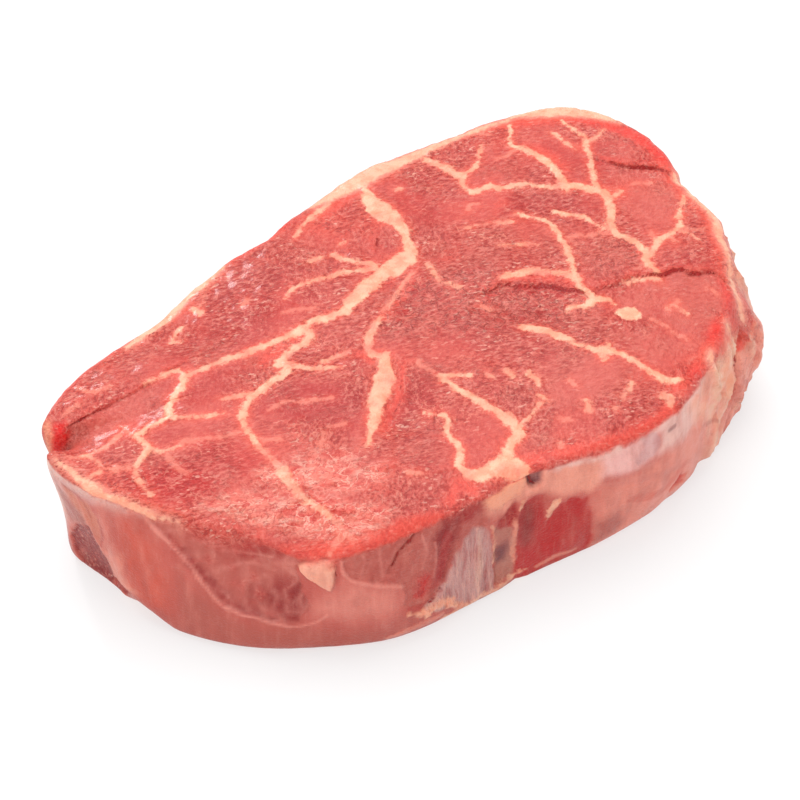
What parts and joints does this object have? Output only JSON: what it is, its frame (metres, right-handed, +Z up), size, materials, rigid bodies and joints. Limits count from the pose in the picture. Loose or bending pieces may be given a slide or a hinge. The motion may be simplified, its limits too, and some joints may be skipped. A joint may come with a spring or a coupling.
{
  "type": "raw beef steak",
  "caption": "Raw chuck tender steak: a thick oval slice of marbled beef with fat veins, a fatty skin round its side and muscle seams across its face, lying flat on its cut face.",
  "frame": {"origin": "middle of the steak's box, level with the board it lies on", "axes": "+X along the steak towards its broad end, +Y across it towards its long smooth side, +Z up out of the cut face"},
  "size_m": [0.1536, 0.0956, 0.0325],
  "materials": {
    "beef": "raw red beef with cream fat veins, moist with soft highlights"
  },
  "bodies": {
    "root": {"steak": "beef"}
  },
  "joints": []
}
